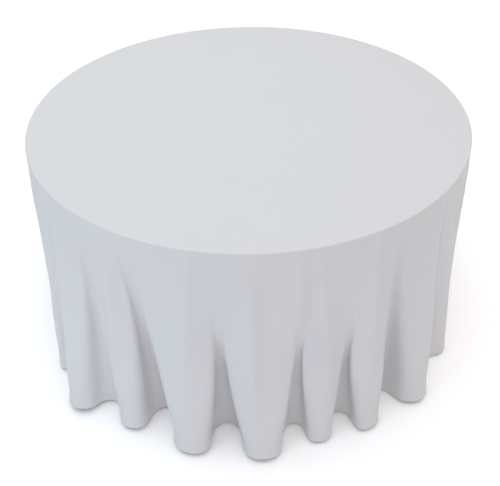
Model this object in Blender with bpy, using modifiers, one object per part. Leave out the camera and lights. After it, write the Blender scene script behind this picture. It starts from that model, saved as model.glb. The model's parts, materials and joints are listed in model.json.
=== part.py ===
"""A round tablecloth that falls to the floor over a round folding table.

The origin is on the floor under the table's centre, +Z is up and -Y is the front.
"""

import math

import bmesh
import bpy
from mathutils import Matrix, Vector

# Overall sizes, in metres
TABLE_DIAMETER = 1.524
TABLE_HEIGHT = 0.762
CLOTH_DIAMETER = 3.048
CLOTH_THICKNESS = 0.001

# Clearances
TOUCH_GAP = 0.0003
CLOTH_GAP = 0.0012
HEM_CLEARANCE = 0.004
BORE_CLEARANCE = 0.0004
HOLE_MARGIN = 0.002  # how far a screw's cutter starts below its seat

# Steps round the turned pieces and arcs, and the angle past which an edge stays sharp
TURNED_STEPS = 72
TUBE_STEPS = 24
STAY_STEPS = 16
SCREW_STEPS = 12
ARC_STEPS = 16
SHARP_ANGLE = math.radians(40.0)

# Table top
TOP_THICKNESS = 0.019
MOULDING_FACE = 0.003
MOULDING_LIP = 0.0008
TONGUE_THICKNESS = 0.0024
TONGUE_DEPTH = 0.010

# Runners, brackets and screws
RUNNER_LENGTH = 0.80
RUNNER_WIDTH = 0.070
RUNNER_THICKNESS = 0.019
STRAP_THICKNESS = 0.003
STRAP_WIDTH = 0.040
STRAP_REACH = 0.031
SCREW_RADIUS = 0.0021
SCREW_HEAD_RADIUS = 0.0045
SCREW_HEAD_HEIGHT = 0.0022
SCREW_BITE = 0.013
SCREW_TIP = 0.004

# Leg sets
HINGE_X = 0.400
HINGE_DROP_A = 0.039
HINGE_DROP_B = 0.069
HALF_WIDTH_A = 0.200
HALF_WIDTH_B = 0.300
SPLAY = math.radians(5.0)
TUBE_RADIUS = 0.0127
TUBE_WALL = 0.0014
HINGE_OVERHANG = 0.035
BRACKET_OFFSET = 0.012  # between a leg and the bracket beside it
CROSSBAR_DISTANCE = 0.290
CROSSBAR_RADIUS = 0.0095
CAP_RADIUS = 0.0155
CAP_HEIGHT = 0.045
CAP_FLOOR = 0.006
CAP_LIP = 0.0015

# Stays
STAY_RADIUS = 0.005
EYE_RADIUS = 0.0135
EYE_WIDTH = 0.024
COLLAR_RADIUS = 0.014
COLLAR_WIDTH = 0.010
KEEPER_X = 0.290
KEEPER_REACH = 0.030
KEEPER_WIDTH = 0.036
KEEPER_GAP = 0.0006
SLOT_GAP = 0.0015
PIN_LENGTH = 0.030
STAY_OFFSET = 0.045

# Folds of the cloth: each one's direction in degrees from the front, positive towards +X,
# and how far it stands out past the table's edge at the hem
FOLDS = (
    (-167.5, 0.140), (-152.0, 0.128), (-138.5, 0.150), (-125.5, 0.124), (-112.0, 0.128),
    (-101.0, 0.108), (-90.0, 0.100), (-78.0, 0.085), (-66.0, 0.078), (-53.5, 0.112),
    (-40.6, 0.172), (-28.0, 0.130), (-12.7, 0.150), (2.2, 0.154), (15.0, 0.118),
    (26.3, 0.132), (40.8, 0.144), (57.3, 0.096), (68.5, 0.076), (79.0, 0.085),
    (90.0, 0.100), (103.0, 0.114), (117.0, 0.140), (130.5, 0.122), (144.0, 0.140),
    (157.0, 0.126), (169.0, 0.134), (180.0, 0.154),
)
COLUMNS_PER_FOLD = 6
CREST_BREADTH = 0.8  # under 1, a crest is broader than a valley
EDGE_BAND = 0.026
RIM_BEND = 0.003
SKIRT_ROWS = 5

TABLE_RADIUS = TABLE_DIAMETER / 2
UNDERSIDE_Z = TABLE_HEIGHT - TOP_THICKNESS
LEG_SETS = (
    ("a", -1, HINGE_DROP_A, HALF_WIDTH_A),
    ("b", 1, HINGE_DROP_B, HALF_WIDTH_B),
)


def clear_scene():
    for obj in list(bpy.data.objects):
        bpy.data.objects.remove(obj, do_unlink=True)


def new_collection(name):
    collection = bpy.data.collections.new(name)
    bpy.context.scene.collection.children.link(collection)
    return collection


def material(name, colour, roughness, metallic=0.0):
    made = bpy.data.materials.new(name)
    made.use_nodes = True
    shader = made.node_tree.nodes["Principled BSDF"]
    shader.inputs["Base Color"].default_value = (*colour, 1.0)
    shader.inputs["Roughness"].default_value = roughness
    shader.inputs["Metallic"].default_value = metallic
    return made


def place(obj, collection, finish=None, parent=None):
    """Links an object, gives it its material and keeps its world place under a parent."""
    collection.objects.link(obj)
    if finish:
        obj.data.materials.append(finish)
    if parent:
        obj.parent = parent
        obj.matrix_parent_inverse = parent.matrix_world.inverted()
    return obj


def empty_at(name, point, collection):
    empty = bpy.data.objects.new(name, None)
    empty.matrix_world = Matrix.Translation(point)
    collection.objects.link(empty)
    bpy.context.view_layer.update()
    return empty


def object_from(name, mesh_maker):
    mesh = bpy.data.meshes.new(name)
    shape = bmesh.new()
    mesh_maker(shape)
    shape.to_mesh(mesh)
    shape.free()
    return bpy.data.objects.new(name, mesh)


def box(name, low, high):
    def make(shape):
        size = Vector(high) - Vector(low)
        centre = (Vector(high) + Vector(low)) / 2
        fit = Matrix.Translation(centre) @ Matrix.Diagonal((*size, 1.0))
        bmesh.ops.create_cube(shape, size=1.0, matrix=fit)

    return object_from(name, make)


def between(start, end):
    """The matrix that lays +Z from start to end, with its origin halfway."""
    start, end = Vector(start), Vector(end)
    turn = (end - start).to_track_quat("Z", "Y").to_matrix().to_4x4()
    return Matrix.Translation((start + end) / 2) @ turn


def rod(name, start, end, radius, segments=TUBE_STEPS):
    def make(shape):
        length = (Vector(end) - Vector(start)).length
        bmesh.ops.create_cone(
            shape, cap_ends=True, segments=segments, radius1=radius, radius2=radius,
            depth=length, matrix=between(start, end),
        )

    made = object_from(name, make)
    smooth(made)
    return made


def smooth(obj):
    obj.data.shade_smooth()
    obj.data.set_sharp_from_angle(angle=SHARP_ANGLE)


def turned(name, profile, steps, closed=True):
    """A profile of (radius, height) points turned about Z."""
    def make(shape):
        points = [shape.verts.new((radius, 0.0, height)) for radius, height in profile]
        pairs = list(zip(points, points[1:]))
        if closed:
            pairs.append((points[-1], points[0]))
        for first, second in pairs:
            shape.edges.new((first, second))

    made = object_from(name, make)
    screw = made.modifiers.new("Turn", "SCREW")
    screw.steps = steps
    screw.render_steps = steps
    screw.use_merge_vertices = True
    screw.merge_threshold = 0.0001
    screw.use_smooth_shade = True
    return made


def tube(name, start, end, radius, wall):
    """A hollow tube, open at both ends."""
    half = (Vector(end) - Vector(start)).length / 2
    inner = radius - wall
    profile = ((radius, half), (radius, -half), (inner, -half), (inner, half))
    made = turned(name, profile, TUBE_STEPS)
    made.matrix_world = between(start, end)
    return made


def cut(obj, cutter, operation="DIFFERENCE"):
    change = obj.modifiers.new(cutter.name, "BOOLEAN")
    change.operation = operation
    change.object = cutter
    change.solver = "EXACT"


def as_cutter(obj, cutters):
    cutters.objects.link(obj)
    obj.hide_render = True
    obj.display_type = "WIRE"
    return obj


def extruded(name, outline, centre_y, width, origin):
    """A flat outline of (x, z) points, extruded along Y and placed at origin."""
    curve = bpy.data.curves.new(name, "CURVE")
    curve.dimensions = "2D"
    curve.fill_mode = "BOTH"
    curve.extrude = width / 2
    spline = curve.splines.new("POLY")
    spline.points.add(len(outline) - 1)
    for point, (x, z) in zip(spline.points, outline):
        point.co = (x, z, 0.0, 1.0)
    spline.use_cyclic_u = True
    guide = bpy.data.objects.new(name + "_outline", curve)
    bpy.context.scene.collection.objects.link(guide)
    bpy.context.view_layer.update()
    graph = bpy.context.evaluated_depsgraph_get()
    mesh = bpy.data.meshes.new_from_object(guide.evaluated_get(graph))
    bpy.data.objects.remove(guide, do_unlink=True)
    upright = Matrix.Rotation(math.radians(90), 4, "X")
    offset = Vector(origin) + Vector((0.0, centre_y, 0.0))
    mesh.transform(Matrix.Translation(offset) @ upright)
    shape = bmesh.new()
    shape.from_mesh(mesh)
    bmesh.ops.remove_doubles(shape, verts=shape.verts, dist=0.00001)
    bmesh.ops.recalc_face_normals(shape, faces=shape.faces)
    shape.to_mesh(mesh)
    shape.free()
    mesh.name = name
    return bpy.data.objects.new(name, mesh)


def arc(centre, radius, start, end, steps):
    """Points round an arc, in degrees."""
    turns = (math.radians(start + (end - start) * k / steps) for k in range(steps + 1))
    return [(centre[0] + radius * math.cos(a), centre[1] + radius * math.sin(a)) for a in turns]


# The cloth

def fold_columns():
    """Each column of the skirt: its direction, and how far it stands out at the hem."""
    columns = []
    following = FOLDS[1:] + ((FOLDS[0][0] + 360.0, FOLDS[0][1]),)
    for (start, reach), (end, next_reach) in zip(FOLDS, following):
        for k in range(COLUMNS_PER_FOLD):
            share = k / COLUMNS_PER_FOLD
            crest = ((1 + math.cos(2 * math.pi * share)) / 2) ** CREST_BREADTH
            height = reach + (next_reach - reach) * share
            columns.append((math.radians(start + (end - start) * share), height * crest))
    return columns


def cloth_rings():
    """Each ring from the table's rim to the hem: base radius, height, and share of the folds."""
    radius = TABLE_RADIUS + CLOTH_GAP
    top = TABLE_HEIGHT + TOUCH_GAP
    drop = (CLOTH_DIAMETER - TABLE_DIAMETER) / 2
    hem = max(top - drop, HEM_CLEARANCE)
    rings = [(radius - RIM_BEND, top, 0.0)]
    rings.append((radius - RIM_BEND * 0.25, top - RIM_BEND * 0.25, 0.0))
    rings.append((radius, top - RIM_BEND, 0.0))
    band = top - EDGE_BAND
    for k in range(SKIRT_ROWS + 1):
        share = k / SKIRT_ROWS
        rings.append((radius, band + (hem - band) * share, share))
    return rings


def make_cloth(collection, finish):
    columns = fold_columns()
    rings = cloth_rings()

    def spot(column, ring):
        direction, reach = columns[column]
        radius, height, share = rings[ring]
        out = radius + reach * share
        return (out * math.sin(direction), -out * math.cos(direction), height)

    def make(shape):
        circle = bmesh.ops.create_circle(shape, cap_ends=True, segments=len(columns), radius=1.0)
        verts = circle["verts"]
        for index, vert in enumerate(verts):
            vert.co = spot(index, 0)
        edges = [e for e in shape.edges if e.is_boundary]
        for ring in range(1, len(rings)):
            column_of = {vert: index for index, vert in enumerate(verts)}
            near = {vert.co.to_tuple(6): index for vert, index in column_of.items()}
            grown = bmesh.ops.extrude_edge_only(shape, edges=edges)["geom"]
            fresh = [g for g in grown if isinstance(g, bmesh.types.BMVert)]
            verts = sorted(fresh, key=lambda v: near[v.co.to_tuple(6)])
            for index, vert in enumerate(verts):
                vert.co = spot(index, ring)
            edges = [e for e in grown if isinstance(e, bmesh.types.BMEdge) and e.is_boundary
                     and all(v in fresh for v in e.verts)]
        bmesh.ops.recalc_face_normals(shape, faces=shape.faces)
        crown = max(shape.faces, key=lambda face: face.calc_area())
        if crown.normal.z < 0:
            bmesh.ops.reverse_faces(shape, faces=shape.faces)

    cloth = object_from("tablecloth", make)
    wall = cloth.modifiers.new("Thickness", "SOLIDIFY")
    wall.thickness = CLOTH_THICKNESS
    wall.offset = 1.0
    wall.use_even_offset = True
    cloth.data.shade_smooth()
    return place(cloth, collection, finish)


# The table top

def make_top(collection, finishes):
    wall = TABLE_RADIUS - MOULDING_FACE - TOUCH_GAP
    slot_half = TONGUE_THICKNESS / 2 + TOUCH_GAP
    middle = TABLE_HEIGHT - TOP_THICKNESS / 2
    slot_end = wall - TONGUE_DEPTH - TOUCH_GAP
    profile = (
        (0.0, TABLE_HEIGHT), (wall, TABLE_HEIGHT), (wall, middle + slot_half),
        (slot_end, middle + slot_half), (slot_end, middle - slot_half),
        (wall, middle - slot_half), (wall, UNDERSIDE_Z), (0.0, UNDERSIDE_Z),
    )
    top = turned("table_top", profile, TURNED_STEPS, closed=False)
    place(top, collection, finishes["board"])

    inner = TABLE_RADIUS - MOULDING_FACE
    face_top = TABLE_HEIGHT - TOUCH_GAP
    face_low = UNDERSIDE_Z - MOULDING_LIP
    tongue_half = TONGUE_THICKNESS / 2
    bulge = MOULDING_FACE * 0.5
    edging = (
        (inner, face_top), (inner + bulge, face_top), (TABLE_RADIUS, face_top - bulge),
        (TABLE_RADIUS, face_low + bulge), (inner + bulge, face_low), (inner, face_low),
        (inner, middle - tongue_half), (inner - TONGUE_DEPTH, middle - tongue_half),
        (inner - TONGUE_DEPTH, middle + tongue_half), (inner, middle + tongue_half),
    )
    place(turned("edge_moulding", edging, TURNED_STEPS), collection, finishes["vinyl"])
    return top


def make_screw(name, point, depth, collection, finish):
    """A pan-head screw driven upwards: its head's seat is at point."""
    head = SCREW_HEAD_RADIUS
    profile = (
        (0.0, depth), (SCREW_RADIUS * 0.3, depth), (SCREW_RADIUS, depth - SCREW_TIP), (SCREW_RADIUS, 0.0),
        (head, 0.0), (head, -SCREW_HEAD_HEIGHT * 0.5), (head * 0.7, -SCREW_HEAD_HEIGHT),
        (0.0, -SCREW_HEAD_HEIGHT),
    )
    screw = turned(name, profile, SCREW_STEPS, closed=False)
    screw.location = point
    return place(screw, collection, finish)


def screw_hole(name, point, depth, cutters):
    """A cutter for a screw's shank, from under its seat to just past its tip."""
    x, y, z = point
    start, end = (x, y, z - HOLE_MARGIN), (x, y, z + depth + TOUCH_GAP * 2)
    return as_cutter(rod(name, start, end, SCREW_RADIUS + TOUCH_GAP, SCREW_STEPS), cutters)


def fasten(prefix, seats, seat_z, pieces, depth, collections, finish):
    """Screws at the given (x, y) seats, and their holes in the pieces they pass through."""
    collection, cutters = collections
    for number, (x, y) in enumerate(seats, 1):
        name = f"{prefix}_screw_{number}"
        point = (x, y, seat_z - TOUCH_GAP)
        make_screw(name, point, depth, collection, finish)
        hole = screw_hole(name + "_hole", point, depth, cutters)
        for piece in pieces:
            cut(piece, hole)


def make_runner(name, side, collection, finish):
    low = side * HINGE_X - RUNNER_WIDTH / 2
    top = UNDERSIDE_Z - TOUCH_GAP
    runner = box(
        name, (low, -RUNNER_LENGTH / 2, top - RUNNER_THICKNESS),
        (low + RUNNER_WIDTH, RUNNER_LENGTH / 2, top),
    )
    return place(runner, collection, finish)


def strap_outline(drop):
    """A strap bent round a tube whose axis is drop below the face it is screwed to."""
    inner = TUBE_RADIUS + BORE_CLEARANCE
    outer = inner + STRAP_THICKNESS
    left = [(-STRAP_REACH, 0.0), (-STRAP_REACH, -STRAP_THICKNESS), (-outer, -STRAP_THICKNESS)]
    right = [(outer, -STRAP_THICKNESS), (STRAP_REACH, -STRAP_THICKNESS), (STRAP_REACH, 0.0), (inner, 0.0)]
    under = arc((0.0, -drop), outer, 180, 360, ARC_STEPS)
    lining = arc((0.0, -drop), inner, 360, 180, ARC_STEPS)
    return left + under + right + lining + [(-inner, 0.0)]


def make_brackets(key, side, hinge_z, half_width, runner, collections, finishes):
    face = UNDERSIDE_Z - RUNNER_THICKNESS - 2 * TOUCH_GAP
    outline = strap_outline(face - hinge_z)
    for label, sign in (("front", -1), ("back", 1)):
        y = sign * (half_width - TUBE_RADIUS - STRAP_WIDTH / 2 - BRACKET_OFFSET)
        name = f"hinge_bracket_{key}_{label}"
        bracket = extruded(name, outline, y, STRAP_WIDTH, (side * HINGE_X, 0.0, face))
        place(bracket, collections[0], finishes["zinc"])
        inner_edge = TUBE_RADIUS + BORE_CLEARANCE + STRAP_THICKNESS
        reach = (inner_edge + STRAP_REACH) / 2
        seats = [(side * HINGE_X + reach, y), (side * HINGE_X - reach, y)]
        fasten(name, seats, face - STRAP_THICKNESS, (bracket, runner),
               STRAP_THICKNESS + SCREW_BITE, collections, finishes["zinc"])


def keeper_outline(side):
    """A flange with a web on its outer side and a lip under half of the stay's cross pin."""
    tip_room = STAY_RADIUS + KEEPER_GAP
    web = tip_room + STRAP_THICKNESS
    lip = STRAP_THICKNESS + 2 * tip_room
    points = [
        (-web, 0.0), (KEEPER_REACH, 0.0), (KEEPER_REACH, -STRAP_THICKNESS),
        (-tip_room, -STRAP_THICKNESS), (-tip_room, -lip), (0.0, -lip),
        (0.0, -lip - STRAP_THICKNESS), (-web, -lip - STRAP_THICKNESS),
    ]
    return [(-side * x, z) for x, z in points]


def keeper_tip(side):
    """The place of the stay's tip in its keeper."""
    face = UNDERSIDE_Z - TOUCH_GAP
    height = face - STRAP_THICKNESS - STAY_RADIUS - KEEPER_GAP
    return Vector((side * (HINGE_X - KEEPER_X), side * STAY_OFFSET, height))


def make_keeper(key, side, top, collections, finishes):
    face = UNDERSIDE_Z - TOUCH_GAP
    tip = keeper_tip(side)
    name = f"stay_keeper_{key}"
    keeper = extruded(name, keeper_outline(side), tip.y, KEEPER_WIDTH, (tip.x, 0.0, face))
    place(keeper, collections[0], finishes["zinc"])
    slot_half = STAY_RADIUS + SLOT_GAP
    slot_reach = KEEPER_REACH * 0.5
    slot = box(
        name + "_slot", (tip.x - slot_reach, tip.y - slot_half, tip.z - slot_reach),
        (tip.x + slot_reach, tip.y + slot_half, face - STRAP_THICKNESS),
    )
    cut(keeper, as_cutter(slot, collections[1]))
    seat_x = tip.x - side * (KEEPER_REACH + STAY_RADIUS) / 2
    seats = [(seat_x, tip.y - KEEPER_WIDTH / 4), (seat_x, tip.y + KEEPER_WIDTH / 4)]
    fasten(name, seats, face - STRAP_THICKNESS, (keeper, top),
           STRAP_THICKNESS + SCREW_BITE, collections, finishes["zinc"])


# The leg sets

def make_leg(key, label, hinge, y, side, hinge_cutter, collections, finishes, pivot):
    """One leg tube, coped to the hinge tube, with its foot cap. Returns its axis points."""
    down = Vector((side * math.sin(SPLAY), 0.0, -math.cos(SPLAY)))
    top = Vector((hinge.x, y, hinge.z))
    floor = top + down * (hinge.z / math.cos(SPLAY))
    cap_lift = CAP_FLOOR + 2 * TUBE_RADIUS * math.tan(SPLAY)
    leg = tube(f"leg_tube_{key}_{label}", top, floor - down * cap_lift, TUBE_RADIUS, TUBE_WALL)
    place(leg, collections[0], finishes["steel"], pivot)
    cut(leg, hinge_cutter)

    bore = TUBE_RADIUS + TOUCH_GAP
    past_floor = 2 * CAP_RADIUS * math.tan(SPLAY)
    seat = cap_lift - TOUCH_GAP
    profile = (
        (0.0, -past_floor), (CAP_RADIUS, -past_floor), (CAP_RADIUS, CAP_HEIGHT - CAP_LIP),
        (CAP_RADIUS - CAP_LIP, CAP_HEIGHT), (bore, CAP_HEIGHT), (bore, seat), (0.0, seat),
    )
    cap = turned(f"foot_cap_{key}_{label}", tuple(reversed(profile)), TUBE_STEPS, closed=False)
    cap.matrix_world = Matrix.Translation(floor) @ (-down).to_track_quat("Z", "Y").to_matrix().to_4x4()
    place(cap, collections[0], finishes["rubber"], pivot)
    return top, floor, cap


def make_leg_set(key, side, drop, half_width, collections, finishes):
    collection, cutters = collections
    hinge = Vector((side * HINGE_X, 0.0, UNDERSIDE_Z - drop))
    pivot = empty_at(f"leg_set_{key}_pivot", hinge, collection)
    end = half_width + HINGE_OVERHANG
    bar_ends = ((hinge.x, -end, hinge.z), (hinge.x, end, hinge.z))
    bar = tube(f"hinge_tube_{key}", *bar_ends, TUBE_RADIUS, TUBE_WALL)
    place(bar, collection, finishes["steel"], pivot)
    bar_cutter = as_cutter(rod(f"hinge_{key}_cope", *bar_ends, TUBE_RADIUS + TOUCH_GAP), cutters)
    far = TABLE_DIAMETER
    floor_cutter = as_cutter(box(f"floor_{key}", (-far, -far, -far), (far, far, 0.0)), cutters)
    leg_cutters = []
    for label, sign in (("front", -1), ("back", 1)):
        top, floor, cap = make_leg(
            key, label, hinge, sign * half_width, side, bar_cutter, collections, finishes, pivot,
        )
        cut(cap, floor_cutter)
        leg_cutters.append(as_cutter(
            rod(f"leg_{key}_{label}_cope", top, floor, TUBE_RADIUS + TOUCH_GAP), cutters,
        ))
    down = Vector((side * math.sin(SPLAY), 0.0, -math.cos(SPLAY)))
    crossbar_at = hinge + down * CROSSBAR_DISTANCE
    ends = (crossbar_at + Vector((0, -half_width, 0)), crossbar_at + Vector((0, half_width, 0)))
    crossbar = tube(f"crossbar_{key}", *ends, CROSSBAR_RADIUS, TUBE_WALL)
    place(crossbar, collection, finishes["steel"], pivot)
    for cutter in leg_cutters:
        cut(crossbar, cutter)
    stay_at = crossbar_at + Vector((0, side * STAY_OFFSET, 0))
    make_collars(key, stay_at, collection, finishes["zinc"], pivot)
    make_stay(key, side, stay_at, collection, finishes["zinc"])


def make_collars(key, centre, collection, finish, pivot):
    """Two rings that keep the stay's eye in its place along the crossbar."""
    bore = CROSSBAR_RADIUS + TOUCH_GAP
    half = COLLAR_WIDTH / 2
    profile = ((COLLAR_RADIUS, half), (COLLAR_RADIUS, -half), (bore, -half), (bore, half))
    for label, sign in (("front", -1), ("back", 1)):
        collar = turned(f"stay_collar_{key}_{label}", profile, TUBE_STEPS)
        y = sign * (EYE_WIDTH / 2 + half + KEEPER_GAP)
        collar.matrix_world = Matrix.Translation(centre + Vector((0, y, 0))) @ Matrix.Rotation(
            math.radians(90), 4, "X")
        place(collar, collection, finish, pivot)


def make_stay(key, side, centre, collection, finish):
    """The stay: a rod from an eye on the crossbar to the cross pin at its tip, in the keeper."""
    tip = keeper_tip(side)
    along = (tip - centre).normalized()
    hole = CROSSBAR_RADIUS + BORE_CLEARANCE
    across = Vector((0, EYE_WIDTH / 2, 0))
    pivot = empty_at(f"stay_{key}_pivot", centre, collection)

    rod_start = centre + along * (hole + EYE_RADIUS) / 2
    stay = rod(f"stay_{key}", rod_start, tip, STAY_RADIUS, STAY_STEPS)
    place(stay, collection, finish, pivot)
    eye = rod(f"stay_{key}_eye", centre - across, centre + across, EYE_RADIUS)
    opening = rod(f"stay_{key}_bore", centre - across * 2, centre + across * 2, hole)
    cutters = bpy.data.collections["cutters"]
    cut(stay, as_cutter(eye, cutters), "UNION")
    cut(stay, as_cutter(opening, cutters))
    pin_half = Vector((0, PIN_LENGTH / 2, 0))
    pin = rod(f"stay_{key}_pin", tip - pin_half, tip + pin_half, STAY_RADIUS, STAY_STEPS)
    cut(stay, as_cutter(pin, cutters), "UNION")


def main():
    clear_scene()
    parts = new_collection("tablecloth_on_table")
    cutters = new_collection("cutters")
    collections = (parts, cutters)
    finishes = {
        "cloth": material("white_polyester", (0.78, 0.80, 0.82), 0.75),
        "board": material("plywood", (0.62, 0.45, 0.28), 0.55),
        "pine": material("pine", (0.66, 0.50, 0.31), 0.6),
        "vinyl": material("brown_vinyl", (0.12, 0.07, 0.045), 0.45),
        "steel": material("enamelled_steel", (0.045, 0.035, 0.03), 0.35),
        "zinc": material("zinc_plate", (0.62, 0.62, 0.60), 0.35, 1.0),
        "rubber": material("black_rubber", (0.02, 0.02, 0.02), 0.8),
    }
    make_cloth(parts, finishes["cloth"])
    top = make_top(parts, finishes)
    for key, side, drop, half_width in LEG_SETS:
        runner = make_runner(f"runner_{key}", side, parts, finishes["pine"])
        hinge_z = UNDERSIDE_Z - drop
        make_brackets(key, side, hinge_z, half_width, runner, collections, finishes)
        make_keeper(key, side, top, collections, finishes)
        make_leg_set(key, side, drop, half_width, collections, finishes)


main()
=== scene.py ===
import json
import math

import bmesh
import bpy
import numpy as np
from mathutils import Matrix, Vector


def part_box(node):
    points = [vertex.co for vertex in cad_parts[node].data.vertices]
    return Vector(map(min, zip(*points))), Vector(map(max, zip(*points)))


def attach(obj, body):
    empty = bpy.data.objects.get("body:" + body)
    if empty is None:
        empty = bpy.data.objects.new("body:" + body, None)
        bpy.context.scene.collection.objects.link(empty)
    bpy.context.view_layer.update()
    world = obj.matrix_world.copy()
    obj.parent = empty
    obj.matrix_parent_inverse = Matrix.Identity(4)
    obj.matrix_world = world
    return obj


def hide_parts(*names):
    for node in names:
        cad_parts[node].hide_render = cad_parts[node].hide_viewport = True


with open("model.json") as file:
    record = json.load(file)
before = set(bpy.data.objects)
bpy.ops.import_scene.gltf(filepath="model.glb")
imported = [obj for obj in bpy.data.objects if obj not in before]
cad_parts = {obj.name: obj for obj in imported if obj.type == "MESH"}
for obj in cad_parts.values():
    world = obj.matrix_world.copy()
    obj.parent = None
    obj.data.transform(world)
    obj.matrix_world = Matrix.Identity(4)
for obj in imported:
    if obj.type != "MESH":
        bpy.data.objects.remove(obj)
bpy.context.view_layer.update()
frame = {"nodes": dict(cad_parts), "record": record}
print("frame loaded")


class Signal:
    # one output of a node: adding, multiplying or subtracting signals adds Math nodes
    def __init__(self, paint, socket):
        self.paint = paint
        self.socket = socket

    def maths(self, operation, other, swapped=False):
        pair = (other, self) if swapped else (self, other)
        return self.paint.node("ShaderNodeMath", {"operation": operation}, {0: pair[0], 1: pair[1]})

    def __add__(self, other):
        return self.maths("ADD", other)

    def __sub__(self, other):
        return self.maths("SUBTRACT", other)

    def __mul__(self, other):
        return self.maths("MULTIPLY", other)

    def __rsub__(self, other):
        return self.maths("SUBTRACT", other, swapped=True)

    __radd__ = __add__
    __rmul__ = __mul__


class Paint:
    # a material and its nodes
    def __init__(self, name):
        self.material = bpy.data.materials.new(name)
        self.material.use_nodes = True
        self.tree = self.material.node_tree
        self.shader = self.tree.nodes["Principled BSDF"]

    # adds a node: its settings come first, then the values or signals of its inputs
    def node(self, kind, settings=None, inputs=None, output=0):
        made = self.tree.nodes.new(kind)
        for key, value in (settings or {}).items():
            if key == "stops":
                self.setStops(made.color_ramp, value)
            else:
                setattr(made, key, value)
        for key, value in (inputs or {}).items():
            self.feed(made.inputs[key], value)
        return Signal(self, made.outputs[output])

    def feed(self, socket, value):
        if isinstance(value, Signal):
            self.tree.links.new(value.socket, socket)
        else:
            socket.default_value = value

    def setStops(self, ramp, stops):
        while len(ramp.elements) < len(stops):
            ramp.elements.new(0.5)
        for element, (place, shade) in zip(ramp.elements, stops):
            element.position = place
            element.color = shade

    # a place on the piece's own coordinates, or on its flat cut, stretched by scale
    def where(self, scale=(1, 1, 1), uv=None):
        if uv:
            source = self.node("ShaderNodeUVMap", {"uv_map": uv})
        else:
            source = self.node("ShaderNodeTexCoord", output="Object")
        return self.node("ShaderNodeMapping", {}, {"Vector": source, "Scale": scale})

    def noise(self, place, scale, detail=4.0, rough=0.55):
        return self.node("ShaderNodeTexNoise", {}, {
            "Vector": place, "Scale": scale, "Detail": detail, "Roughness": rough}, "Fac")

    def mix(self, share, first, second):
        return self.node("ShaderNodeMix", {"data_type": "RGBA"}, {0: share, 6: first, 7: second}, 2)

    def ramp(self, share, stops):
        return self.node("ShaderNodeValToRGB", {"stops": stops}, {"Fac": share}, "Color")

    def bump(self, height, distance, strength=1.0):
        relief = self.node("ShaderNodeBump", {}, {
            "Height": height, "Distance": distance, "Strength": strength}, "Normal")
        self.feed(self.shader.inputs["Normal"], relief)

    def surface(self, **values):
        for key, value in values.items():
            self.feed(self.shader.inputs[key], value)
        return self.material


def rgb(red, green, blue):
    return (red, green, blue, 1.0)


# A mesh from a point array and blocks of faces, each block an array with one face a row.
def meshFrom(name, points, faces, uv=None, smooth=True):
    points = points.reshape(-1, 3)
    corners = np.concatenate([block.ravel() for block in faces]).astype(np.int32)
    totals = np.concatenate([np.full(len(block), block.shape[1]) for block in faces])
    starts = np.concatenate([[0], np.cumsum(totals)[:-1]]).astype(np.int32)
    mesh = bpy.data.meshes.new(name)
    mesh.vertices.add(len(points))
    mesh.vertices.foreach_set("co", points.astype(np.float32).ravel())
    mesh.loops.add(len(corners))
    mesh.loops.foreach_set("vertex_index", corners)
    mesh.polygons.add(len(totals))
    mesh.polygons.foreach_set("loop_start", starts)
    mesh.update(calc_edges=True)
    mesh.validate()
    if uv is not None:
        layer = mesh.uv_layers.new(name="cut")
        layer.data.foreach_set("uv", uv.reshape(-1, 2)[corners].astype(np.float32).ravel())
    mesh.polygons.foreach_set("use_smooth", np.full(len(totals), smooth))
    piece = bpy.data.objects.new(name, mesh)
    bpy.context.scene.collection.objects.link(piece)
    return piece


# Faces of a grid whose columns close round: each joins row and row + 1, column and column + 1.
def ringFaces(rows, columns):
    row, column = np.meshgrid(np.arange(rows - 1), np.arange(columns), indexing="ij")
    after = (column + 1) % columns
    near = row * columns
    far = near + columns
    return np.stack([near + column, far + column, far + after, near + after], axis=-1).reshape(-1, 4)


def smoothStep(x):
    x = np.clip(x, 0.0, 1.0)
    return x * x * (3.0 - 2.0 * x)


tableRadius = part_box("edge_moulding")[1].x
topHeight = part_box("table_top")[1].z

drape = {
    "flatDiameter": 3.048,
    "gap": 0.0018,          # cloth's outer face past the table's edge
    "lift": 0.0010,         # cloth's outer face above the table's top
    "bend": 0.0060,         # radius of the bend at the table's edge
    "thickness": 0.0006,
    "halfSamples": 17,      # columns from a valley to a crest
    "valleyDetail": 1.3,    # over 1, columns are closer in the valleys
    "skirtRows": 36,
    "rowSpread": 1.12,      # over 1, rows are closer near the table's edge
    "hemRows": (0.85, 0.5, 0.15, 0.0),  # the last rows, in hem widths above the hem
    "bendRows": 5,
    "flatRings": (0.15, 0.45, 0.75, 0.93, 0.985),  # rings on the flat top, in shares of its radius
    "hemWidth": 0.010,
    "hemFloor": 0.0035,
    "hemBreadth": 0.90,     # under 1, crests are broader than valleys at the hem
    "flareCurve": 0.20,     # share of the flare that grows with the square of the drop
    "flareAtEdge": 0.2,     # how far the flare has eased in at the table's edge
    "flareEase": 0.08,      # share of the drop over which it eases in
    "leanRate": 1.05,       # a fold leans by (leanRate drop) ** leanPower of the way from edge to hem
    "leanPower": 0.9,
    "steepness": (0.8, 2.6),  # how fast a groove deepens as it widens: where it opens, and at the hem
    "leastDepth": 0.0005,   # of a valley that is fully open
    "narrowest": 0.30,      # share of a fold that a groove takes up where it opens
    "opened": 0.94,         # share of the drop where it takes up the whole fold
    "squareness": 1.45,     # over 1, flanks are steeper, and crests and valleys flatter
    "crown": 0.24,          # how far a crest goes on turning past its groove
    "ripple": 0.0012,       # height of the small uneven waves between the folds
    "rippleEase": 0.25,     # share of the drop over which they ease in
    "creaseEase": 0.04,     # share of the drop over which a crease rises to half its height
    "creaseFade": 0.9,      # share of its height that it has lost at the hem
    "fineSteps": 12,        # steps summed from one column to the next
    "steepestTurn": 1.95,   # the largest heading tried, in radians
    "turnsTried": 120,
    "leastFall": 0.5,       # share of a step of cloth that always goes down
}

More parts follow.
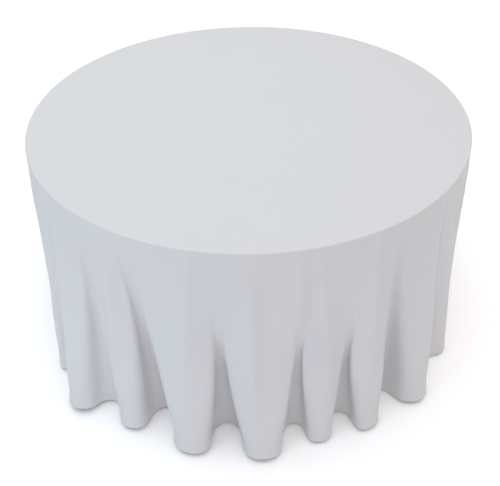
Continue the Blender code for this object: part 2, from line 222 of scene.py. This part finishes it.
# Each fold, going round from the back over the left side. Its crest: direction at the table's edge and at
# the hem, in degrees from the front, and how far it stands out at the hem. The valley after it: direction
# at the edge and at the hem, the share of the drop where it opens, and how far out its floor stands at
# the hem.
folds = [
    (-169.0, -167.5, 0.140, -160.5, -160.0, 0.05, 0.006),
    (-153.5, -152.0, 0.128, -146.0, -145.0, 0.30, 0.020),
    (-139.0, -138.5, 0.150, -131.0, -132.0, 0.02, 0.004),
    (-124.0, -125.5, 0.124, -118.0, -119.0, 0.35, 0.030),
    (-111.5, -112.0, 0.128, -106.0, -106.5, 0.15, 0.010),
    (-100.0, -101.0, 0.106, -96.0, -95.5, 0.25, 0.020),
    (-90.5, -90.0, 0.100, -84.0, -84.0, 0.02, 0.004),
    (-78.5, -77.5, 0.070, -73.0, -71.8, 0.30, 0.015),
    (-68.0, -66.0, 0.066, -63.0, -60.5, 0.05, 0.010),
    (-57.5, -53.5, 0.112, -52.5, -47.6, 0.00, 0.045),
    (-46.5, -40.9, 0.176, -40.5, -34.6, 0.02, 0.066),
    (-33.5, -28.0, 0.130, -28.8, -22.0, 0.03, 0.000),
    (-14.5, -12.7, 0.150, -7.5, -6.2, 0.22, 0.004),
    (-0.5, 2.4, 0.155, 11.2, 9.8, 0.30, 0.024),
    (15.4, 14.9, 0.117, 22.2, 21.3, 0.34, 0.024),
    (27.0, 26.2, 0.132, 34.0, 32.6, 0.00, 0.004),
    (43.5, 40.7, 0.144, 49.5, 48.0, 0.02, 0.025),
    (55.0, 57.2, 0.095, 61.5, 62.8, 0.20, 0.020),
    (68.0, 68.5, 0.062, 73.0, 73.5, 0.05, 0.008),
    (79.0, 79.0, 0.070, 84.5, 84.5, 0.30, 0.015),
    (90.0, 90.0, 0.100, 97.0, 96.5, 0.02, 0.006),
    (104.0, 103.0, 0.114, 111.0, 110.0, 0.25, 0.020),
    (118.0, 117.0, 0.140, 124.5, 124.0, 0.05, 0.006),
    (131.0, 130.5, 0.122, 137.0, 137.5, 0.35, 0.025),
    (143.0, 144.0, 0.140, 150.0, 150.5, 0.10, 0.006),
    (157.5, 157.0, 0.126, 163.0, 163.0, 0.30, 0.020),
    (168.5, 169.0, 0.134, 174.0, 174.5, 0.05, 0.006),
    (180.5, 180.0, 0.154, 185.5, 186.0, 0.20, 0.012),
]

# Soft creases left from folding and pressing: direction at the table's edge and at the hem, half width in
# degrees, height, and the share of the drop where it is highest.
creases = [
    (-58.0, -52.0, 1.1, 0.010, 0.35), (-51.5, -41.0, 1.2, 0.013, 0.40), (-32.0, -28.6, 1.4, 0.013, 0.35),
    (-12.6, -14.6, 1.4, 0.018, 0.35), (-0.4, 0.3, 1.1, 0.014, 0.40), (10.2, 10.0, 1.0, 0.007, 0.15),
    (14.6, 15.8, 1.0, 0.013, 0.40), (28.0, 25.2, 1.4, 0.013, 0.35), (47.0, 41.5, 1.5, 0.013, 0.40),
    (66.0, 60.0, 1.4, 0.007, 0.35), (-76.0, -78.0, 1.4, 0.007, 0.40), (95.0, 92.0, 1.5, 0.007, 0.40),
    (124.0, 121.0, 1.4, 0.009, 0.35), (151.0, 148.0, 1.2, 0.007, 0.45), (179.0, 181.0, 1.5, 0.010, 0.40),
    (-149.0, -151.0, 1.4, 0.009, 0.35), (-118.0, -121.0, 1.3, 0.007, 0.40),
]

# Small waves round the skirt: how many go round, their phase, their drift down the drop, and their share.
ripples = [
    (43, 0.4, 2.2, 0.9), (67, 2.1, -3.1, 0.7), (89, 4.0, 4.4, 0.6),
    (113, 1.2, -2.0, 0.4), (137, 5.5, 3.0, 0.3),
]


# One row of half folds, from valley (t = 0) to crest (t = 1). The heading is omega times
# sin(pi (t / g)^breadth)^squareness over the share g of t that the groove takes up, plus a low crown
# sin(pi t), and the heading's cosine and sine are summed along t. omega is chosen so that height over
# width is each half fold's aspect.
def halfFold(aspect, groove, breadth, samples):
    fine = drape["fineSteps"] * samples
    edges = np.linspace(0.0, 1.0, fine + 1) ** drape["valleyDetail"]
    t, step = (edges[1:] + edges[:-1]) / 2, np.diff(edges)
    swing = np.sin(math.pi * np.clip(t / groove[:, None], 0, 1) ** breadth) ** drape["squareness"]
    swing = swing + drape["crown"] * np.sin(math.pi * t)
    omegas = np.linspace(1e-3, drape["steepestTurn"], drape["turnsTried"])
    heading = omegas[:, None] * swing[:, None, :]
    aspects = (np.sin(heading) * step).sum(-1) / (np.cos(heading) * step).sum(-1)
    omega = np.array([np.interp(want, have, omegas) for want, have in zip(aspect, aspects)])
    heading = omega[:, None] * swing
    zero = np.zeros((len(aspect), 1))
    along, rise = (
        np.concatenate([zero, np.cumsum(part * step, 1)], 1)[:, ::drape["fineSteps"]]
        for part in (np.cos(heading), np.sin(heading)))
    return along / along[:, -1:], rise / rise[:, -1:]


# Rows of the skirt as lengths of cloth past the bend: nearly even, then close together over the hem.
def skirtLengths():
    drop = drape["flatDiameter"] / 2 - tableRadius
    hem = drape["hemWidth"]
    even = np.linspace(0.0, 1.0, drape["skirtRows"]) ** drape["rowSpread"] * (drop - hem)
    return np.concatenate([even, drop - hem * np.array(drape["hemRows"])]), drop


# The skirt, row by row: a crest stands at edge + reach * flare. A valley lies on its crests' cone until it
# opens. Its groove then widens evenly to the hem, and its depth is full tanh(steepness width / 2 full),
# with the steepness growing with the groove. Ripples are sums of sines round the skirt. A crease adds
# height / cosh(degrees away / half width).
def drapeSkirt():
    table = np.array(folds)
    crestRim, crestHem, valleyRim, valleyHem = np.radians(table[:, [0, 1, 3, 4]]).T
    reach, onset, floorOut = table[:, [2, 5, 6]].T
    lengths, drop = skirtLengths()
    share = (lengths / drop)[:, None]
    curve = drape["flareCurve"]
    easing = smoothStep(share / drape["flareEase"] + drape["flareAtEdge"])
    flare = share * (1 - curve + curve * share) * easing
    lean = np.clip((share * drape["leanRate"]) ** drape["leanPower"], 0, 1)
    crest = crestRim + (crestHem - crestRim) * lean
    valley = valleyRim + (valleyHem - valleyRim) * lean
    base = tableRadius + drape["gap"]
    crestOut = base + reach * flare
    level = np.minimum(reach, np.roll(reach, -1)) * flare
    groove = np.clip((share - onset) / (drape["opened"] - onset), 0, 1)
    nextCrest = np.roll(crest, -1, axis=1)
    nextCrest[:, -1] += math.tau
    width = groove * (nextCrest - crest)
    full = np.maximum(level - floorOut * flare, drape["leastDepth"])
    gentle, steep = drape["steepness"]
    deepening = (gentle + (steep - gentle) * groove) * width / 2 * base
    valleyOut = base + level - full * np.tanh(deepening / full)
    groove = np.maximum(groove, drape["narrowest"])
    breadth = 1.0 + (drape["hemBreadth"] - 1.0) * share
    before, beforeOut, beforeGroove = (np.roll(values, 1, axis=1) for values in (valley, valleyOut, groove))
    before[:, 0] -= math.tau

    def half(start, startOut, opening):
        width = np.abs(crest - start) * startOut
        aspect = np.maximum(crestOut - startOut, 1e-6) / width
        rows = [halfFold(a, g, b, drape["halfSamples"]) for a, g, b in zip(aspect, opening, breadth)]
        along, rise = (np.array(part) for part in zip(*rows))
        angle = start[..., None] + (crest - start)[..., None] * along
        return angle, startOut[..., None] + (crestOut - startOut)[..., None] * rise

    upAngle, upOut = half(before, beforeOut, beforeGroove)
    downAngle, downOut = half(valley, valleyOut, groove)
    angle = np.concatenate([upAngle[..., :-1], downAngle[..., :0:-1]], axis=-1).reshape(len(lengths), -1)
    out = np.concatenate([upOut[..., :-1], downOut[..., :0:-1]], axis=-1).reshape(len(lengths), -1)
    waves = sum(weight * np.sin(count * angle + phase + drift * share)
                for count, phase, drift, weight in ripples)
    out = out + drape["ripple"] * smoothStep(share / drape["rippleEase"]) * waves
    for atRim, atHem, halfWidth, height, highest in creases:
        away = np.degrees(angle) - (atRim + (atHem - atRim) * lean)
        away = (away + 180) % 360 - 180
        swell = 0.5 * smoothStep(share / drape["creaseEase"]) + 0.5 * smoothStep(share / highest)
        swell = swell * (1 - drape["creaseFade"] * smoothStep((share - highest) / (1 - highest)))
        out = out + height * swell / np.cosh(away / halfWidth)
    out = np.maximum(out, base)
    return angle, out, lengths


# Heights: along each column a step of cloth ds covers sqrt(ds^2 - sideways^2) of drop.
def dropHeights(x, y, lengths, start):
    step = np.diff(lengths)[:, None]
    sideways = np.hypot(np.diff(x, axis=0), np.diff(y, axis=0))
    fall = np.sqrt(np.maximum(step ** 2 - sideways ** 2, (drape["leastFall"] * step) ** 2))
    return np.concatenate([np.full((1, x.shape[1]), start), start - np.cumsum(fall, axis=0)])


# The sheet as rings from the middle of the top over the bend and down the skirt, and where each point of
# it lay on the flat cut: its length from the middle, in its own direction.
def drapeSheet():
    angle, out, lengths = drapeSkirt()
    x, y = out * np.sin(angle), -out * np.cos(angle)
    bend = drape["bend"]
    top = topHeight + drape["lift"]
    fallen = (top - bend) - dropHeights(x, y, lengths, top - bend)
    room = top - bend - drape["hemFloor"]
    z = (top - bend) - fallen * np.minimum(1.0, room / fallen[-1].max())
    skirt = np.stack([x, y, z], axis=-1)

    rimAngle, rim = angle[0], out[0, 0]
    turn = np.linspace(0, math.pi / 2, drape["bendRows"] + 1)[:-1]
    flatOut = (rim - bend) * np.array(drape["flatRings"])
    ringOut = np.concatenate([flatOut, rim - bend + bend * np.sin(turn)])
    ringHeight = np.concatenate([np.full(len(flatOut), top), top - bend + bend * np.cos(turn)])
    rings = np.stack([
        ringOut[:, None] * np.sin(rimAngle), -ringOut[:, None] * np.cos(rimAngle),
        np.broadcast_to(ringHeight[:, None], (len(ringOut), len(rimAngle)))], axis=-1)

    around = np.linalg.norm(np.roll(skirt[-1], -1, axis=0) - skirt[-1], axis=-1)
    cutAngle = rimAngle[0] + np.concatenate([[0], np.cumsum(around)[:-1]]) / around.sum() * 2 * math.pi
    cutOut = np.concatenate([flatOut, rim - bend + bend * turn, rim + bend * (math.pi / 2 - 1) + lengths])
    cut = np.stack([cutOut[:, None] * np.sin(cutAngle), -cutOut[:, None] * np.cos(cutAngle)], axis=-1)
    return np.concatenate([rings, skirt]), cut


# Outward directions on a closed grid: the cross product of its two steps.
def outward(grid):
    along = np.roll(grid, -1, axis=1) - np.roll(grid, 1, axis=1)
    down = np.gradient(grid, axis=0)
    normal = np.cross(down, along)
    return normal / np.linalg.norm(normal, axis=-1, keepdims=True)


def addWall(piece, thickness):
    wall = piece.modifiers.new("Wall", "SOLIDIFY")
    wall.thickness = thickness
    wall.offset = -1.0


def makeCloth(sheet, cut):
    rows, columns = sheet.shape[:2]
    points = np.concatenate([sheet.reshape(-1, 3), [[0.0, 0.0, topHeight + drape["lift"]]]])
    uv = np.concatenate([cut.reshape(-1, 2), [[0.0, 0.0]]])
    column = np.arange(columns)
    fan = np.stack([np.full(columns, rows * columns), column, (column + 1) % columns], axis=-1)
    cloth = meshFrom("tablecloth_sheet", points, [ringFaces(rows, columns), fan], uv)
    addWall(cloth, drape["thickness"])
    return cloth


hem = {"rows": 5, "inset": 0.00065, "thickness": 0.0007}


# The turned-up hem: the last rows of the sheet again, moved in along its normals.
def makeHem(sheet, cut):
    band = (sheet - hem["inset"] * outward(sheet))[-hem["rows"]:]
    ribbon = meshFrom("tablecloth_hem", band, [ringFaces(hem["rows"], sheet.shape[1])], cut[-hem["rows"]:])
    addWall(ribbon, hem["thickness"])
    return ribbon


stitch = {
    "row": -4, "pitch": 0.0030, "length": 0.0023, "width": 0.00045, "height": 0.00022,
    "lookAhead": 0.0005,    # how far along the row a stitch looks for its direction
}


# The seam of the hem: one stitch a pitch along its row. Each is a bar of two diamond rings and two points,
# given as shares of its length, width and height.
def makeStitches(sheet):
    line, normal = (part[stitch["row"]] for part in (sheet, outward(sheet)))
    line, normal = (np.concatenate([part, part[:1]]) for part in (line, normal))
    run = np.concatenate([[0], np.cumsum(np.linalg.norm(np.diff(line, axis=0), axis=1))])
    count = int(run[-1] / stitch["pitch"])
    at = (np.arange(count) + 0.5) * run[-1] / count
    middle, up, ahead = (
        np.stack([np.interp((at + shift) % run[-1], run, part[:, k]) for k in range(3)], axis=1)
        for shift, part in ((0.0, line), (0.0, normal), (stitch["lookAhead"], line)))
    along = ahead - middle
    along /= np.linalg.norm(along, axis=1, keepdims=True)
    across = np.cross(up, along)
    diamond = [(0.5, 0.0), (0.0, 1.0), (-0.5, 0.0), (0.0, -1.0)]
    shape = np.array(
        [(-0.5, 0.0, 0.0)] + [(end, a, b) for end in (-0.3, 0.3) for a, b in diamond] + [(0.5, 0.0, 0.0)])
    shape *= (stitch["length"], stitch["width"], stitch["height"])
    points = middle[:, None] + sum(
        shape[None, :, k, None] * way[:, None] for k, way in enumerate((along, across, up)))
    k = np.arange(4)
    after = (k + 1) % 4
    ends = np.concatenate([
        np.stack([np.zeros(4, int), 1 + k, 1 + after], 1), np.stack([np.full(4, 9), 5 + after, 5 + k], 1)])
    sides = np.stack([1 + k, 5 + k, 5 + after, 1 + after], 1)
    first = (np.arange(count) * len(shape))[:, None, None]
    faces = [(first + block).reshape(-1, block.shape[1]) for block in (sides, ends)]
    return meshFrom("tablecloth_hem_stitches", points, faces)


def clothMaterial(name, low, high):
    paint = Paint(name)
    flat = paint.where(uv="cut")
    warp = paint.noise(paint.where(scale=(900, 22, 1), uv="cut"), 1.0, 3.0)
    weft = paint.noise(paint.where(scale=(22, 900, 1), uv="cut"), 1.0, 3.0)
    slub = (warp + weft) * 0.5
    cloudy = paint.noise(flat, 3.0, 3.0)
    shade = paint.mix(slub * 0.6 + cloudy * 0.4, low, high)
    threads = [paint.node("ShaderNodeTexWave", {"wave_type": "BANDS", "bands_direction": way}, {
        "Vector": flat, "Scale": 640.0, "Distortion": 0.6, "Detail": 1.0}, "Fac") for way in "XY"]
    paint.bump(threads[0] * threads[1] * 0.6 + slub * 1.2, 0.00015, 0.5)
    return paint.surface(**{
        "Base Color": shade, "Roughness": 0.88 - slub * 0.08,
        "Sheen Weight": 0.12, "Sheen Roughness": 0.5, "Specular IOR Level": 0.25})


def threadMaterial():
    paint = Paint("whiteThread")
    twist = paint.noise(paint.where(), 2600.0, 2.0)
    paint.bump(twist, 0.0001, 0.4)
    return paint.surface(**{
        "Base Color": paint.mix(twist, rgb(0.68, 0.69, 0.70), rgb(0.80, 0.80, 0.81)),
        "Roughness": 0.5 + twist * 0.15})


# Wood with its grain along one axis: wavy growth bands across it, and long thin pores.
def woodMaterial(name, along, early, late, bands, gloss):
    stretch = [1.0, 1.0, 1.0]
    stretch["XYZ".index(along)] = 0.06
    across = "Y" if along == "X" else "X"
    paint = Paint(name)
    place = paint.where(scale=stretch)
    growth = paint.node("ShaderNodeTexWave", {"wave_type": "BANDS", "bands_direction": across}, {
        "Vector": place, "Scale": bands, "Distortion": 7.0, "Detail": 3.0, "Detail Scale": 1.4}, "Fac")
    pores = paint.noise(place, 700.0, 3.0)
    patches = paint.noise(place, 9.0, 2.0)
    tone = paint.mix(growth * 0.55 + pores * 0.45, early, late)
    tone = paint.mix(patches * 0.30, tone, late)
    pits = paint.ramp(pores, [(0.30, rgb(0.0, 0.0, 0.0)), (0.42, rgb(1, 1, 1))])
    paint.bump(pits * 1.0 + growth * 0.3, 0.0002, 0.6)
    return paint.surface(**{"Base Color": tone, "Roughness": gloss + pores * 0.16 - growth * 0.05})


# Enamel over steel: a fine orange peel, dust in the lows, and small chips down to bare metal.
def enamelMaterial():
    paint = Paint("bakedBrownEnamel")
    peel = paint.noise(paint.where(), 320.0, 2.0)
    wear = paint.noise(paint.where(), 46.0, 6.0, 0.7)
    chips = paint.ramp(wear, [(0.690, rgb(0, 0, 0)), (0.705, rgb(1, 1, 1))])
    dust = paint.noise(paint.where(), 11.0, 4.0)
    colour = paint.mix(dust, rgb(0.040, 0.031, 0.026), rgb(0.072, 0.060, 0.052))
    colour = paint.mix(chips, colour, rgb(0.42, 0.41, 0.40))
    paint.bump(peel * 0.5 - chips, 0.00012, 0.6)
    return paint.surface(**{
        "Base Color": colour, "Roughness": 0.30 + dust * 0.18, "Metallic": chips * 0.9})


# Zinc plate: pale spangles of uneven tint, dulled in patches.
def zincMaterial():
    paint = Paint("brightZincPlate")
    spangle = paint.node("ShaderNodeTexVoronoi", {"feature": "F1"}, {
        "Vector": paint.where(), "Scale": 420.0}, "Color")
    grain = paint.node("ShaderNodeRGBToBW", {}, {"Color": spangle})
    dull = paint.noise(paint.where(), 38.0, 5.0, 0.6)
    colour = paint.mix(grain * 0.5 + dull * 0.5, rgb(0.52, 0.53, 0.53), rgb(0.74, 0.74, 0.70))
    scratches = paint.noise(paint.where(scale=(1, 12, 12)), 160.0, 3.0)
    paint.bump(grain * 0.4 + scratches * 0.6, 0.00005, 0.4)
    return paint.surface(**{"Base Color": colour, "Roughness": 0.26 + dull * 0.24, "Metallic": 1.0})


# Moulded plastic or rubber: a fine pebble, paler where it has been rubbed.
def mouldedMaterial(name, fresh, rubbed, roughness, pebble):
    paint = Paint(name)
    grain = paint.noise(paint.where(), pebble, 3.0)
    rubbing = paint.noise(paint.where(), 24.0, 6.0, 0.65)
    rub = paint.ramp(rubbing, [(0.45, rgb(0, 0, 0)), (0.75, rgb(1, 1, 1))])
    paint.bump(grain, 0.0001, 0.5)
    return paint.surface(**{
        "Base Color": paint.mix(rub * 0.7, fresh, rubbed), "Roughness": roughness + grain * 0.1 + rub * 0.08})


finishes = {
    "cloth": clothMaterial("whitePolyesterCloth", rgb(0.600, 0.600, 0.606), rgb(0.645, 0.645, 0.650)),
    "board": woodMaterial("lacqueredBirchPly", "X", rgb(0.66, 0.50, 0.32), rgb(0.48, 0.33, 0.19), 14.0, 0.38),
    "pine": woodMaterial("oiledPine", "Y", rgb(0.68, 0.50, 0.29), rgb(0.44, 0.26, 0.12), 26.0, 0.46),
    "vinyl": mouldedMaterial("brownVinyl", rgb(0.085, 0.05, 0.034), rgb(0.16, 0.11, 0.085), 0.36, 900.0),
    "enamelled_steel": enamelMaterial(),
    "zinc": zincMaterial(),
    "rubber": mouldedMaterial("blackRubber", rgb(0.018, 0.018, 0.018), rgb(0.07, 0.068, 0.064), 0.70, 600.0),
}
print("finishes mixed")


# The table's own pieces keep the frame's shape: their doubles are merged and flat faces joined, round faces
# shade smooth, and their edges are broken by a small bevel where the slot is given one. Angles in degrees.
edges = {
    "bevels": {"board": 0.0004, "pine": 0.0012, "zinc": 0.0003},
    "segments": 2,
    "flatBelow": 0.4,
    "smoothBelow": 32,
    "bevelAbove": 40,
}


def refine(node, body, slot):
    source = frame["nodes"][node].data
    source.calc_loop_triangles()
    place = np.empty(len(source.vertices) * 3, np.float32)
    source.vertices.foreach_get("co", place)
    corners = np.empty(len(source.loop_triangles) * 3, np.int32)
    source.loop_triangles.foreach_get("vertices", corners)
    points, same = np.unique(place.reshape(-1, 3).round(6), axis=0, return_inverse=True)
    piece = meshFrom(node + "_finished", points, [same.ravel()[corners].reshape(-1, 3)])
    shape = bmesh.new()
    shape.from_mesh(piece.data)
    bmesh.ops.dissolve_limit(
        shape, angle_limit=math.radians(edges["flatBelow"]), verts=shape.verts, edges=shape.edges)
    shape.to_mesh(piece.data)
    shape.free()
    piece.data.shade_smooth()
    piece.data.set_sharp_from_angle(angle=math.radians(edges["smoothBelow"]))
    if slot in edges["bevels"]:
        bevel = piece.modifiers.new("BrokenEdge", "BEVEL")
        bevel.width = edges["bevels"][slot]
        bevel.segments = edges["segments"]
        bevel.limit_method = "ANGLE"
        bevel.angle_limit = math.radians(edges["bevelAbove"])
        bevel.harden_normals = True
    piece.data.materials.append(finishes[slot])
    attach(piece, body)
    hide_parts(node)


def makeTable():
    bodyOf = {node: body for body, nodes in frame["record"]["behaviour"]["bodies"].items() for node in nodes}
    for part in frame["record"]["subparts"]:
        if part["material_slot"] != "cloth":
            refine(part["node"], bodyOf[part["node"]], part["material_slot"])


camera = {"lens": 44.64, "sensor": 36, "back": 2.582, "up": 1.41, "pitch": 40.7, "roll": -0.8}


# The camera stands back and up from the middle of the top, by lengths given in table radii.
def addCamera():
    made = bpy.data.objects.new("camera", bpy.data.cameras.new("camera"))
    bpy.context.scene.collection.objects.link(made)
    made.data.lens = camera["lens"]
    made.data.sensor_width = camera["sensor"]
    made.rotation_euler = (math.radians(90 - camera["pitch"]), 0, 0)
    made.rotation_euler.rotate_axis("Z", math.radians(camera["roll"]))
    made.location = (0, -camera["back"] * tableRadius, topHeight + camera["up"] * tableRadius)
    bpy.context.scene.camera = made


def addLight(name, kind, place, aim, settings):
    light = bpy.data.lights.new(name, kind)
    for key, value in settings.items():
        setattr(light, key, value)
    made = bpy.data.objects.new(name, light)
    bpy.context.scene.collection.objects.link(made)
    made.location = place
    made.rotation_euler = (made.location - Vector(aim)).to_track_quat("Z", "Y").to_euler()


# A light so far off that it is the same everywhere: its direction, softness in degrees, and strength.
def addSun(name, fromPlace, softness, strength, colour):
    addLight(name, "SUN", fromPlace, (0, 0, 0), {
        "angle": math.radians(softness), "energy": strength, "color": colour})


# A square soft box near the object, so that what is close to it is lit more: place, aim, side and watts.
def addWindow(name, place, aim, side, watts, colour):
    addLight(name, "AREA", place, aim, {"size": side, "energy": watts, "color": colour})


studio = {
    "floorReach": 30.0, "floorWhite": 0.90, "floorGlow": 0.10,
    "sky": rgb(0.955, 0.92, 1.0), "skyStrength": 0.30,
    "suns": [  # name, direction it comes from, softness, strength, colour
        ("softOverhead", (0.02, 0.05, 1.0), 75, 2.40, (1.0, 0.985, 0.965)),
        ("frontFill", (0.22, -0.96, 0.40), 24, 0.38, (1.0, 0.91, 0.95)),
    ],
    "windows": [  # name, place, aim, side, watts, colour
        ("windowLeft", (-0.9, 0.1, 3.0), (-0.6, 0.0, 0.76), 1.2, 6.0, (0.35, 0.85, 1.0)),
        ("windowFront", (-1.9, -2.2, 0.9), (-0.1, -0.7, 0.45), 0.5, 8.5, (0.42, 0.72, 1.0)),
    ],
}


# A white floor under a broad overhead light, with the sky dim so that the sides stay darker than the top.
def addStudio():
    reach = studio["floorReach"]
    corners = np.array([[-1, -1, 0], [1, -1, 0], [1, 1, 0], [-1, 1, 0]]) * reach
    floor = meshFrom("floor", corners, [np.array([[0, 1, 2, 3]])], smooth=False)
    white = studio["floorWhite"]
    floor.data.materials.append(Paint("paleFloor").surface(**{
        "Base Color": rgb(white, white, white), "Roughness": 0.9, "Specular IOR Level": 0.0,
        "Emission Color": rgb(1, 1, 1), "Emission Strength": studio["floorGlow"]}))
    world = bpy.data.worlds.new("studio")
    bpy.context.scene.world = world
    world.use_nodes = True
    sky = world.node_tree.nodes["Background"]
    sky.inputs["Color"].default_value = studio["sky"]
    sky.inputs["Strength"].default_value = studio["skyStrength"]
    for sun in studio["suns"]:
        addSun(*sun)
    for window in studio["windows"]:
        addWindow(*window)
    bpy.context.scene.view_settings.view_transform = "Standard"


addCamera()
sheet, cut = drapeSheet()
cloth, hemBand, seam = makeCloth(sheet, cut), makeHem(sheet, cut), makeStitches(sheet)
for piece, finish in ((cloth, finishes["cloth"]), (hemBand, finishes["cloth"]), (seam, threadMaterial())):
    piece.data.materials.append(finish)
    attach(piece, "cloth")
    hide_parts("tablecloth")
print("cloth draped in", len(folds), "folds")

makeTable()
print("table finished")

addStudio()
print("studio lit")
